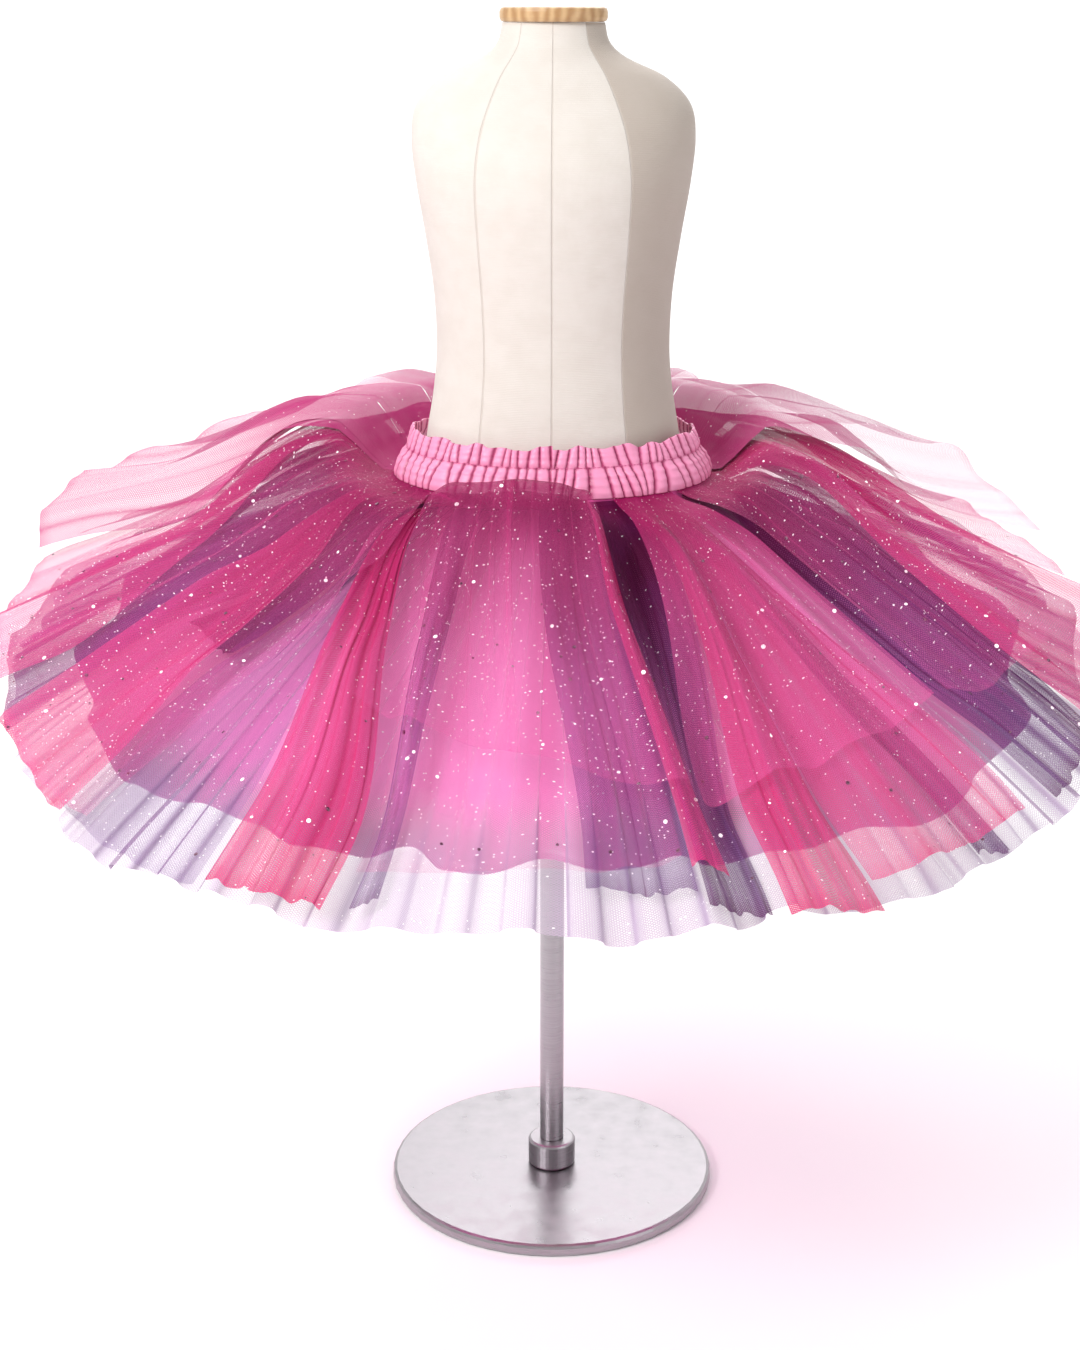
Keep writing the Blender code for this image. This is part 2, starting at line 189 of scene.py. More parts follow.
def slope_point(share, azimuth):
    seam = waist_radius(SEAM_OFFSET, azimuth)
    turn = smooth((np.abs(turned(azimuth)) - TURN_START) / TURN_SPAN)
    fall = FRONT_FALL + (BACK_FALL - FRONT_FALL) * turn
    return seam + (HEM_RADIUS - seam) * share, WAIST_TOP - SEAM_DROP - fall * share**SLOPE_POWER


def slope_normal(share, azimuth):
    step = 0.01
    low = np.maximum(share - step, 0.0)
    inner = slope_point(low, azimuth)
    outer = slope_point(low + 2.0 * step, azimuth)
    run = outer[0] - inner[0]
    rise = outer[1] - inner[1]
    length = np.hypot(run, rise)
    return -rise / length, run / length


def hump_lift(share, azimuth):
    height, reach = eased(HUMP_POINTS, turned(azimuth))
    distance = (HEM_RADIUS - waist_radius(SEAM_OFFSET, azimuth)) * share - HUMP_START
    fallen = smooth((distance - HUMP_RISE) / (reach * HUMP_TAIL))
    return height * smooth(distance / HUMP_RISE) * (1.0 - fallen)


def crease_lift(share, azimuth):
    """Ridges and troughs that run through all the layers together."""
    lift = 0.0 * (share + azimuth)
    for crease in CREASES:
        line = crease.seam + (crease.hem - crease.seam) * smooth(share / FAN_SHARE)
        away = turned(azimuth - line) / crease.width
        along = smooth((share - crease.start) / CREASE_IN)
        along = along * (1.0 - smooth((share - crease.stop) / CREASE_OUT))
        lift = lift + crease.rise * np.exp(-away * away) * along
    return lift


def layer_points(layer, share, azimuth, pleat, tilt=1.0):
    """Points on a layer. pleat is 0 in the troughs and 1 on the ridges, and tilt scales the lift."""
    radius, height = slope_point(share, azimuth)
    out, up = slope_normal(share, azimuth)
    side = smooth((np.abs(turned(azimuth)) - FLARE_START) / FLARE_SPAN)
    lift = layer.order * SEAM_STEP + layer.hem_lift * (1.0 + FLARE * side) * share * tilt
    lift = lift + layer.hump * hump_lift(share, azimuth) + layer.pleat * pleat * share
    lift = lift + crease_lift(share, azimuth) * (1.0 + CREASE_GAIN * layer.order)
    return at_azimuth(radius + out * lift, azimuth, height + up * lift)


print("slope: seam", round(float(waist_radius(SEAM_OFFSET, 0.0)), 4), "m, hem", HEM_RADIUS, "m")


# %% [markdown]
# ## Making meshes
# A sheet of cloth is a grid of points, column by column across the width and row by row from the
# waist to the hem. Its UV map is the flat cloth itself, in metres, so the net's threads close up
# where the cloth is gathered, as real threads do.


def mesh_piece(name, points, faces, finish):
    mesh = bpy.data.meshes.new(name)
    mesh.from_pydata([tuple(point) for point in points.reshape(-1, 3)], [], faces)
    mesh.materials.append(finish)
    mesh.shade_smooth()
    piece = bpy.data.objects.new(name, mesh)
    bpy.context.scene.collection.objects.link(piece)
    return piece


def grid_faces(columns, rows, closed):
    """Quads between neighbouring columns, facing up and outwards."""
    faces = []
    for column in range(columns if closed else columns - 1):
        here = column * rows
        there = (column + 1) % columns * rows
        for row in range(rows - 1):
            faces.append((here + row, here + row + 1, there + row + 1, there + row))
    return faces


def grid_places(piece, rows):
    """The column and row of the grid that each corner of each face belongs to."""
    corners = np.empty(len(piece.data.loops), dtype=np.int64)
    piece.data.loops.foreach_get("vertex_index", corners)
    return corners // rows, corners % rows


def set_uv(piece, across, down):
    layer = piece.data.uv_layers.new(name="cloth")
    layer.data.foreach_set("uv", np.stack([across, down], axis=1).ravel())


def capped_faces(columns, rows):
    """The quads of a closed ring of columns, with one face over each end."""
    faces = grid_faces(columns, rows, closed=True)
    faces.append(tuple(column * rows for column in range(columns)))
    faces.append(tuple(column * rows + rows - 1 for column in reversed(range(columns))))
    return faces


def lay_flat(piece, grid, flat_width, closed):
    """Give a sheet its UV map: the flat cloth in metres."""
    columns, rows = grid.shape[:2]
    down = np.linalg.norm(np.diff(grid, axis=1), axis=2).cumsum(axis=1)
    down = np.concatenate([np.zeros((columns, 1)), down], axis=1)
    column, row = grid_places(piece, rows)
    wrapped = closed & (column == 0) & (np.arange(len(column)) >= (columns - 1) * (rows - 1) * 4)
    across = np.where(wrapped, columns, column) * flat_width / (columns if closed else columns - 1)
    set_uv(piece, across, down[column, row])


def tucked(points, azimuth):
    """Run the cloth up from the seam and in under the waistband, as one more row at its top."""
    seam = azimuth[:, :1] + np.zeros((len(points), 1))
    top = at_azimuth(waist_radius(TUCK_OFFSET, seam), seam, WAIST_TOP - TUCK_DROP)
    return np.concatenate([top, points], axis=1)


def with_tuck(values):
    return np.concatenate([values[:, :1], values], axis=1)


def mark(piece, name, values):
    """Store one number for each point, for the finish to read."""
    layer = piece.data.attributes.new(name, "FLOAT", "POINT")
    layer.data.foreach_set("value", np.asarray(values, dtype=np.float32).ravel())


def cut_of(grid):
    """Width along the hem, length down the middle and area of the cloth in a grid of points."""
    across = np.linalg.norm(np.diff(grid, axis=0), axis=2)
    down = np.linalg.norm(np.diff(grid, axis=1), axis=2)
    diagonal = grid[1:, 1:] - grid[:-1, :-1]
    other = grid[1:, :-1] - grid[:-1, 1:]
    area = 0.5 * np.linalg.norm(np.cross(diagonal, other), axis=2).sum()
    return float(across.sum(axis=0).max()), float(down.sum(axis=1).max()), float(area)


def rounded(values):
    return [round(value, 3) for value in values]


def tie(piece, node):
    """Tie a piece to its body, and hide the solid it stands for."""
    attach(piece, "root")
    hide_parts(node)


def hand_over(piece, node, cut):
    """Tie a hanging sheet of cloth, and say what it was cut from."""
    tie(piece, node)
    print(piece.name, "cut (width, length, area)", rounded(cut))


# %% [markdown]
# ## Finishes
# Each finish is one Principled shader fed by simple textures. `Nodes` and `Shop` only save
# writing: they add a node and join it up in one line.

# %% Finish helpers
class Nodes:
    """A tree of nodes, with short ways to add one and to join it up."""

    def __init__(self, tree):
        self.tree = tree

    def join(self, value, socket):
        if isinstance(value, bpy.types.NodeSocket):
            self.tree.links.new(value, socket)
        else:
            socket.default_value = value

    def node(self, kind, feeds=None, **settings):
        """A new node. feeds fills its inputs, by name or number, with values or other outputs."""
        made = self.tree.nodes.new(kind)
        for name, value in settings.items():
            setattr(made, name, value)
        for name, value in (feeds or {}).items():
            self.join(value, made.inputs[name])
        return made


class Shop(Nodes):
    """The nodes of one finish, with short ways to add what this scene uses."""

    def __init__(self, name, roughness, metallic=0.0):
        self.made = bpy.data.materials.new(name)
        self.made.use_nodes = True
        super().__init__(self.made.node_tree)
        self.set(roughness=roughness, metallic=metallic)

    def set(self, **values):
        shader = self.tree.nodes["Principled BSDF"]
        for name, value in values.items():
            self.join(value, shader.inputs[name.replace("_", " ").title().replace("Ior", "IOR")])
        return self.made

    def sum(self, operation, *values, clamp=False):
        feeds = dict(enumerate(values))
        return self.node("ShaderNodeMath", feeds, operation=operation, use_clamp=clamp).outputs[0]

    def mix(self, factor, first, second):
        feeds = {"Factor": factor, 6: first, 7: second}
        return self.node("ShaderNodeMix", feeds, data_type="RGBA").outputs[2]

    def between(self, value, low, high, start=0.0, end=1.0):
        """Turn low..high into start..end with soft ends."""
        feeds = dict(enumerate((value, low, high, start, end)))
        return self.node("ShaderNodeMapRange", feeds, interpolation_type="SMOOTHSTEP").outputs[0]

    def noise(self, where, scale, detail=2.0):
        feeds = {"Vector": where, "Scale": scale, "Detail": detail}
        return self.node("ShaderNodeTexNoise", feeds).outputs["Fac"]

    def attribute(self, name):
        return self.node("ShaderNodeAttribute", attribute_name=name).outputs["Fac"]

    def where(self, kind):
        return self.node("ShaderNodeTexCoord").outputs[kind]

    def split(self, vector):
        return self.node("ShaderNodeSeparateXYZ", {0: vector}).outputs

    def stretched(self, vector, *scales):
        """A vector with each part made longer by its own scale."""
        parts = [self.sum("MULTIPLY", part, scale) for part, scale in zip(self.split(vector), scales)]
        return self.node("ShaderNodeCombineXYZ", dict(enumerate(parts))).outputs[0]

    def bump(self, height, distance, strength=1.0):
        feeds = {"Height": height, "Distance": distance, "Strength": strength}
        self.set(normal=self.node("ShaderNodeBump", feeds).outputs[0])


def shade(red, green, blue):
    """A colour written the way a screen shows it, 0 to 255, as the shader's linear light."""
    def line(value):
        value = value / 255.0
        return value / 12.92 if value <= 0.04045 else ((value + 0.055) / 1.055) ** 2.4
    return (line(red), line(green), line(blue), 1.0)


# %% [markdown]
# ### Glitter net
# Tulle is a fine net, so a sheet is mostly holes. `gather` on each point says how closed up the
# net is there: it is the share of light that the threads stop. Two slanting sets of threads make
# the mesh, a slow noise gives cloudy patches of dye, and a cell texture puts a tiny speck of
# glitter on a few of the threads, painted near-white: real glitter with its glint painted in.
# `depth` on each point mixes in a darker shaded colour near the waist: painted shade, where the
# crowded layers above keep the light from the net.

# %% Glitter net finish
NET_PITCH = 0.0017
THREAD_SHARPNESS = 5.0
FLECK_SCALE = 520.0
FLECK_SIZE = 0.26
GLITTER_GLINT_COLOUR = (1.0, 0.93, 0.97, 1.0)
CLOUD_SCALE = 22.0


def net_finish(name, sheer, dense, shaded_colour, flecks):
    shop = Shop(name, roughness=0.62)
    flat = shop.where("UV")
    across, down, _ = shop.split(flat)
    gather = shop.attribute("gather")
    threads = []
    for operation in ("ADD", "SUBTRACT"):
        slant = shop.sum(operation, across, down)
        wave = shop.sum("SINE", shop.sum("MULTIPLY", slant, math.pi / NET_PITCH))
        threads.append(shop.sum("POWER", shop.sum("ABSOLUTE", wave), THREAD_SHARPNESS))
    thread = shop.sum("MAXIMUM", *threads)
    feeds = {"Vector": flat, "Scale": FLECK_SCALE}
    cells = shop.node("ShaderNodeTexVoronoi", feeds, voronoi_dimensions="2D")
    chance = shop.split(cells.outputs["Color"])[0]
    chosen = shop.sum("GREATER_THAN", chance, 1.0 - flecks)
    small = shop.sum("LESS_THAN", cells.outputs["Distance"], FLECK_SIZE)
    glitter_glint = shop.sum("MULTIPLY", chosen, small)
    cloud = shop.noise(flat, CLOUD_SCALE, 3.0)
    dye_and_shade = shop.mix(shop.between(gather, 0.25, 0.85), sheer, dense)
    # Painted shade: near the waist the net is mixed towards its shaded colour by `depth`.
    dye_and_shade = shop.mix(shop.sum("MULTIPLY", shop.attribute("depth"), 0.95), dye_and_shade, shaded_colour)
    dye_and_shade = shop.mix(shop.between(cloud, 0.35, 0.65, 0.0, 0.22), dye_and_shade, shop.mix(0.5, dye_and_shade, sheer))
    # Painted glint: glitter specks are mixed towards near-white here, and made solid below.
    colour = shop.mix(shop.sum("MULTIPLY", glitter_glint, 0.85), dye_and_shade, GLITTER_GLINT_COLOUR)
    net = shop.sum("MULTIPLY", gather, shop.sum("MULTIPLY_ADD", thread, 0.75, 0.62), clamp=True)
    solid = shop.sum("MAXIMUM", net, shop.sum("MULTIPLY", glitter_glint, 0.9))
    return shop.set(base_color=colour, alpha=solid, sheen_weight=0.03, sheen_roughness=0.4,
                    specular_ior_level=0.12)


# Each net: sheer and dense dye, a shaded colour painted near the waist, and a share of glitter.
PINK_NET = net_finish("pink_net", shade(222, 80, 148), shade(202, 32, 104), shade(146, 6, 74), 0.022)
PURPLE_NET = net_finish("purple_net", shade(110, 50, 136), shade(84, 8, 76), shade(92, 2, 54), 0.02)
SHEER_NET = net_finish("sheer_pink_net", shade(226, 92, 158), shade(196, 36, 110),
                       shade(146, 12, 80), 0.03)
VEIL_NET = net_finish("veil_net", shade(206, 126, 162), shade(192, 66, 124), shade(160, 36, 100), 0.006)
PALE_NET = net_finish("pale_net", shade(206, 188, 206), shade(176, 152, 184), shade(150, 20, 84), 0.02)
print("nets:", PINK_NET.name, PURPLE_NET.name, SHEER_NET.name, VEIL_NET.name, PALE_NET.name)


# %% [markdown]
# ### Satin
# The waistband and the lining are satin: long floats of thread that shine along one way. A fine
# stretched noise gives the thread lines, and `groove` on each point mixes in a darker shaded
# colour where the cloth turns in on itself: painted shade in the grooves and folds.

# %% Satin finish
LINE_STRETCH = 0.06


def satin_finish(name, bright, shaded_colour, roughness, line_scale):
    shop = Shop(name, roughness=roughness)
    flat = shop.stretched(shop.where("UV"), line_scale, line_scale * LINE_STRETCH)
    lines = shop.noise(flat, 1.0, 3.0)
    groove = shop.attribute("groove")
    # Painted shade: `groove` mixes the satin from its bright colour to its shaded colour.
    colour = shop.mix(shop.between(groove, 0.1, 1.0), bright, shaded_colour)
    colour = shop.mix(shop.between(lines, 0.3, 0.7, 0.0, 0.16), colour, shop.mix(0.5, colour, shaded_colour))
    shop.bump(lines, 0.0002, 0.5)
    return shop.set(base_color=colour, sheen_weight=0.15, sheen_roughness=0.35,
                    specular_ior_level=0.45)


# Each satin: its bright colour and a shaded copy, painted into grooves and folds.
BAND_SATIN = satin_finish("band_satin", shade(250, 158, 198), shade(168, 44, 100), 0.36, 2600.0)
LINING_SATIN = satin_finish("lining_satin_cloth", shade(246, 146, 210), shade(222, 84, 160), 0.34, 1500.0)
print("satins:", BAND_SATIN.name, LINING_SATIN.name)

# %% [markdown]
# ### Form and stand
# The form is covered in cream linen, cut in panels with a seam down the middle front and princess
# seams to each side. The side panel on the +X side, away from the key light, is painted darker as
# shade. The seams are drawn by their azimuth round the form, as dark lines that also dent the
# surface.

# %% Form and stand finishes
FORM_SEAMS = (-0.6, 39.6, -39.6, 92.0, -92.0, 140.0, -140.0)
# The azimuths of the +X side panel that is painted darker as shade.
SHADED_SIDE_PANEL = (39.0, 140.7)
PANEL_EDGE = 1.4


def linen_finish():
    shop = Shop("cream_linen_cloth", roughness=0.9)
    place = shop.where("Object")
    x, y, _ = shop.split(place)
    azimuth = shop.sum("ARCTAN2", x, shop.sum("MULTIPLY", y, -1.0))
    feeds = {"Vector": place, "Scale": 260.0, "Distortion": 1.5}
    weave = shop.node("ShaderNodeTexWave", feeds, wave_type="BANDS", bands_direction="Z")
    warp = shop.sum("SINE", shop.sum("MULTIPLY", azimuth, 620.0))
    cloth = shop.sum("MULTIPLY_ADD", warp, 0.5, weave.outputs["Fac"])
    seam = None
    for degrees in FORM_SEAMS:
        away = shop.sum("ABSOLUTE", shop.sum("SUBTRACT", azimuth, math.radians(degrees)))
        line = shop.between(away, 0.004, 0.013, 1.0, 0.0)
        seam = line if seam is None else shop.sum("MAXIMUM", seam, line)
    mottle = shop.noise(place, 60.0, 4.0)
    mottled = shop.between(mottle, 0.3, 0.7, 0.0, 0.3)
    colour = shop.mix(mottled, shade(223, 216, 209), shade(210, 201, 191))
    # Painted shade: the panel on the +X side, away from the key light, is mixed towards darker taupe.
    front, back = SHADED_SIDE_PANEL
    side = shop.between(azimuth, math.radians(front), math.radians(front + PANEL_EDGE), 0.0, 0.62)
    behind = shop.between(azimuth, math.radians(back - PANEL_EDGE), math.radians(back), 1.0, 0.0)
    colour = shop.mix(shop.sum("MULTIPLY", side, behind), colour, shade(164, 148, 134))
    colour = shop.mix(shop.sum("MULTIPLY", seam, 0.30), colour, shade(170, 154, 140))
    height = shop.sum("SUBTRACT", shop.sum("MULTIPLY", cloth, 0.12), seam)
    shop.bump(height, 0.0008, 0.6)
    return shop.set(base_color=colour, sheen_weight=0.1)


def metal_finish():
    shop = Shop("brushed_steel_metal", roughness=0.3, metallic=1.0)
    lines = shop.noise(shop.stretched(shop.where("Object"), 60.0, 60.0, 2400.0), 1.0)
    colour = shop.mix(lines, shade(150, 146, 150), shade(188, 184, 188))
    rough = shop.between(lines, 0.2, 0.8, 0.26, 0.40)
    return shop.set(base_color=colour, roughness=rough)


def wood_finish():
    shop = Shop("pale_wood_cap", roughness=0.42)
    feeds = {"Vector": shop.where("Object"), "Scale": 42.0, "Distortion": 6.0, "Detail": 3.0}
    grain = shop.node("ShaderNodeTexWave", feeds, wave_type="BANDS", bands_direction="X")
    colour = shop.mix(grain.outputs["Fac"], shade(206, 170, 126), shade(176, 134, 90))
    shop.bump(grain.outputs["Fac"], 0.0002, 0.3)
    return shop.set(base_color=colour)


LINEN = linen_finish()
METAL = metal_finish()
WOOD = wood_finish()
print("form and stand finishes:", LINEN.name, METAL.name, WOOD.name)

# %% [markdown]
# ## Stand and form
# The foot, socket, pole and cap are hard, plain and already exact in the frame, so their own
# solids are shown with a better finish. The pole goes up into the underside of the torso, and the
# skirt hides the join.

# %% Stand
HARD_FINISHES = {"stand_foot": METAL, "pole_socket": METAL, "stand_pole": METAL, "neck_cap": WOOD}
for node, finish in HARD_FINISHES.items():
    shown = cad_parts[node]
    shown.data.materials.clear()
    shown.data.materials.append(finish)
print("stand:", ", ".join(HARD_FINISHES))

# %% [markdown]
# ### Form
# The torso is a loft of ellipses through a table of sections. It could be sculpted or shown as
# its solid, but the loft is made again here with many more sides, so that the linen turns
# smoothly into the light. Heights are from the top of the waistband.

# %% Form
FormSection = namedtuple("FormSection", "height half_width half_depth")
FORM_SECTIONS = rows_of(
    FormSection,
    (-0.155, 0.072, 0.06), (-0.15, 0.086, 0.073), (-0.138, 0.096, 0.082),
    (-0.11, 0.1025, 0.087), (-0.07, 0.1015, 0.086), (-0.03, 0.0965, 0.081),
    (0.0, 0.0925, 0.077), (0.03, 0.0875, 0.0735), (0.06, 0.085, 0.0715), (0.1, 0.0865, 0.0735),
    (0.14, 0.092, 0.077), (0.18, 0.0985, 0.078), (0.21, 0.101, 0.071), (0.232, 0.0965, 0.06),
    (0.25, 0.078, 0.05), (0.262, 0.052, 0.043), (0.272, 0.04, 0.037), (0.286, 0.036, 0.034),
)
FORM_COLUMNS = 180
FORM_RINGS = 150


def form_sizes(height):
    """Half width and half depth at each height, on a smooth curve through the table."""
    rows = np.array(FORM_SECTIONS)
    low = np.clip(np.searchsorted(rows[:, 0], height, side="right") - 1, 0, len(rows) - 2)
    before = rows[np.maximum(low - 1, 0)]
    start = rows[low]
    end = rows[low + 1]
    after = rows[np.minimum(low + 2, len(rows) - 1)]
    span = end[:, :1] - start[:, :1]
    share = (height[:, None] - start[:, :1]) / span
    leave = (end - before) / (end[:, :1] - before[:, :1]) * span
    arrive = (after - start) / (after[:, :1] - start[:, :1]) * span
    ease = share * share * (3.0 - 2.0 * share)
    sizes = start * (1.0 - ease) + end * ease
    sizes = sizes + leave * share * (1.0 - share) ** 2 - arrive * share**2 * (1.0 - share)
    return sizes[:, 1], sizes[:, 2]


def build_form():
    height = np.linspace(FORM_SECTIONS[-1].height, FORM_SECTIONS[0].height, FORM_RINGS)
    half_width, half_depth = form_sizes(height)
    turn = (np.arange(FORM_COLUMNS) * math.tau / FORM_COLUMNS)[:, None]
    level = WAIST_TOP + height + 0.0 * turn
    points = np.stack([half_width * np.sin(turn), -half_depth * np.cos(turn), level], axis=-1)
    return mesh_piece("linen_form", points, capped_faces(FORM_COLUMNS, FORM_RINGS), LINEN)


form = build_form()
tie(form, "dress_form")
print("form:", len(form.data.polygons), "faces")


# %% [markdown]
# ## Geometry Nodes
# What repeats is placed by a small tree of Geometry Nodes, which a modifier on an empty host runs.
# Instances don't leave Blender, so each tree ends by making them real and giving them a finish,
# and `grown` keeps only the plain mesh.

# %% Geometry Nodes helpers
class Tree(Nodes):
    """A tree of Geometry Nodes with named inputs."""

    def __init__(self, name, **inputs):
        super().__init__(bpy.data.node_groups.new(name, "GeometryNodeTree"))
        socket = self.tree.interface.new_socket
        socket("Geometry", in_out="OUTPUT", socket_type="NodeSocketGeometry")
        self.keys = {}
        for label, kind in inputs.items():
            made = socket(label, in_out="INPUT", socket_type="NodeSocket" + kind)
            self.keys[label] = made.identifier
        self.given = self.node("NodeGroupInput").outputs

    def shape_of(self, label):
        """The geometry of the object given in an input."""
        source = self.node("GeometryNodeObjectInfo", {"Object": self.given[label]})
        return source.outputs["Geometry"]

    def place(self, **feeds):
        """Instances on points, made real and given the finish, as what the tree gives out."""
        feeds = {name.title(): value for name, value in feeds.items()}
        placed = self.node("GeometryNodeInstanceOnPoints", feeds).outputs[0]
        real = self.node("GeometryNodeRealizeInstances", {0: placed}).outputs[0]
        feeds = {"Geometry": real, "Material": self.given["finish"]}
        self.node("NodeGroupOutput", {0: self.node("GeometryNodeSetMaterial", feeds).outputs[0]})

    def grown(self, **values):
        """The plain mesh that the tree makes from these inputs."""
        host = bpy.data.objects.new("host", bpy.data.meshes.new("host"))
        bpy.context.scene.collection.objects.link(host)
        worked = host.modifiers.new("grown", "NODES")
        worked.node_group = self.tree
        for label, value in values.items():
            worked[self.keys[label]] = value
        bpy.context.view_layer.update()
        depsgraph = bpy.context.evaluated_depsgraph_get()
        mesh = bpy.data.meshes.new_from_object(host.evaluated_get(depsgraph))
        bpy.data.objects.remove(host, do_unlink=True)
        return mesh


def joined(name, meshes, finish, smoothed):
    """One object from several plain meshes."""
    points = []
    faces = []
    for mesh in meshes:
        first = len(points)
        points.extend(tuple(vertex.co) for vertex in mesh.vertices)
        faces.extend(tuple(first + index for index in face.vertices) for face in mesh.polygons)
    piece = mesh_piece(name, np.array(points), faces, finish)
    if not smoothed:
        piece.data.shade_flat()
    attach(piece, "root")
    print(name, len(faces), "faces")
    return piece


# %% [markdown]
# ## Waistband
# A tube of satin over wide elastic, stitched through once, so it puckers in two rows with a small
# frill standing above. The puckers of the two rows don't line up. Each is a rounded ridge with a
# sharp groove beside it, and no two have the same width or height.

# %% Waistband
BandRow = namedtuple("BandRow", "drop offset half_wall gather")
BAND_ROWS = rows_of(
    BandRow,
    (-0.0003, 0.0102, 0.0004, 0.0039), (0.0025, 0.011, 0.001, 0.0044),
    (0.006, 0.0119, 0.0016, 0.0039), (0.0105, 0.0134, 0.0018, 0.0031),
    (0.0128, 0.0146, 0.001, 0.0021), (0.015, 0.0157, 0.0014, 0.0029),
    (0.019, 0.018, 0.0022, 0.0042), (0.025, 0.0208, 0.0022, 0.0044),
    (0.03, 0.0228, 0.0018, 0.0036), (0.0334, 0.0238, 0.001, 0.0018),
)
BAND_COLUMNS = 1200
BAND_SHELL_ROWS = 40
BAND_TOP = BAND_ROWS[0].drop
BAND_BOTTOM = BAND_ROWS[-1].drop
WEAVE_AROUND = 1.6
WEAVE_ROW = 0.0011
UPPER_PUCKERS = 76
LOWER_PUCKERS = 70
STITCH_DROP = 0.0128
STITCH_SPREAD = 0.0011
LEAN = 6.0
FRILL_WAVES = 61.0
FRILL_HEIGHT = 0.0042
FRILL_DROP = 0.007


def puckers(azimuth, count, seed):
    """Rounded ridges with sharp grooves round the band, uneven in width and height."""
    place = azimuth / 360.0 * count + 0.9 * (wander(azimuth / 360.0 * count * 0.45 + 3.0, seed) - 0.5)
    number = np.floor(place)
    share = place - number
    ridge = np.sqrt(np.maximum(1.0 - (2.0 * share - 1.0) ** 2, 0.0))
    return ridge * (0.55 + 0.45 * hashed(number % count + seed * 7.0)), np.abs(2.0 * share - 1.0) ** 3


def build_waistband():
    azimuth = (np.arange(BAND_COLUMNS) * 360.0 / BAND_COLUMNS)[:, None]
    drop = np.linspace(0.0, 1.0, BAND_SHELL_ROWS)[None, :]
    drop = BAND_TOP + (BAND_BOTTOM - BAND_TOP) * drop
    offset, half_wall, gather = eased(BAND_ROWS, drop)
    lean = LEAN * (drop - STITCH_DROP) / 0.02 * (wander(azimuth / 7.0, 41) - 0.5)
    upper, upper_groove = puckers(azimuth + lean, UPPER_PUCKERS, 3)
    lower, lower_groove = puckers(azimuth + lean, LOWER_PUCKERS, 5)
    share = smooth((drop - STITCH_DROP + 0.001) / 0.002)
    ridge = upper * (1.0 - share) + lower * share
    groove = upper_groove * (1.0 - share) + lower_groove * share
    frill = (wander(azimuth / 360.0 * FRILL_WAVES, 11) - 0.5) * FRILL_HEIGHT
    frill = frill * smooth((FRILL_DROP - drop) / FRILL_DROP)
    outer = waist_radius(offset + half_wall + gather * (ridge - 0.55), azimuth)
    inner = waist_radius(offset - half_wall + gather * 0.5 * (ridge - 0.55), azimuth)
    outside = at_azimuth(outer, azimuth, WAIST_TOP - drop + frill)
    inside = at_azimuth(inner, azimuth, WAIST_TOP - drop + frill)
    grid = np.concatenate([outside, inside[:, ::-1]], axis=1)
    rows = grid.shape[1]
    faces = grid_faces(BAND_COLUMNS, rows, closed=True)
    for column in range(BAND_COLUMNS):
        here = column * rows
        there = (column + 1) % BAND_COLUMNS * rows
        faces.append((here + rows - 1, here, there, there + rows - 1))
    piece = mesh_piece("waistband_satin", grid, faces, BAND_SATIN)
    column, row = grid_places(piece, rows)
    set_uv(piece, column * (WEAVE_AROUND / BAND_COLUMNS), row * WEAVE_ROW)
    stitched = np.exp(-(((drop - STITCH_DROP) / STITCH_SPREAD) ** 2))
    # Painted shade: the satin is darkened in the grooves between puckers and along the stitch line.
    dark = np.clip(1.15 * groove + 0.35 * stitched, 0.0, 1.0)
    mark(piece, "groove", np.concatenate([dark, dark[:, ::-1]], axis=1))
    return piece, grid


waistband, band_grid = build_waistband()
tie(waistband, "waistband")

# %% [markdown]
# ### Waistband stitches
# One line of stitches holds the satin to the elastic, along the groove between the two rows of
# puckers. They could be laid one by one, but all have one shape and only their places differ, so
# Geometry Nodes put one short rounded thread on each point of the line and turn it the way the
# line runs there.

# %% Waistband stitches
STITCH_COUNT = 180
STITCH_LENGTH = 0.0025
STITCH_RADIUS = 0.00026
STITCH_ROUNDING = 1.05
STITCH_RINGS = 5
STITCH_SIDES = 6


def thread_finish():
    shop = Shop("pink_thread", roughness=0.5)
    tint = shop.between(shop.noise(shop.where("Object"), 900.0), 0.3, 0.7)
    return shop.set(base_color=shop.mix(tint, shade(232, 122, 172), shade(196, 78, 132)))


THREAD = thread_finish()


def one_stitch():
    """A thread along X with rounded ends."""
    place = np.linspace(1.0, -1.0, STITCH_RINGS)[None, :]
    turn = (np.arange(STITCH_SIDES) * math.tau / STITCH_SIDES)[:, None]
    thick = STITCH_RADIUS * np.sqrt(STITCH_ROUNDING - place**2)
    length = place * STITCH_LENGTH / 2 + 0.0 * turn
    points = np.stack([length, thick * np.sin(turn), -thick * np.cos(turn)], axis=-1)
    return mesh_piece("one stitch", points, capped_faces(STITCH_SIDES, STITCH_RINGS), THREAD)


def stitch_line(grid):
    """A point for each stitch, on the groove, with the way the groove runs as `along`."""
    row = round((STITCH_DROP - BAND_TOP) / (BAND_BOTTOM - BAND_TOP) * (BAND_SHELL_ROWS - 1))
    column = (np.arange(STITCH_COUNT) * BAND_COLUMNS / STITCH_COUNT).astype(int)
    centre = grid[column, row]
    along = grid[(column + 3) % BAND_COLUMNS, row] - centre
    along = along / np.linalg.norm(along, axis=1, keepdims=True)
    out = np.cross(along, (0.0, 0.0, 1.0))
    line = mesh_piece("stitch line", centre + out * STITCH_RADIUS, [], THREAD)
    layer = line.data.attributes.new("along", "FLOAT_VECTOR", "POINT")
    layer.data.foreach_set("vector", along.astype(np.float32).ravel())
    return line


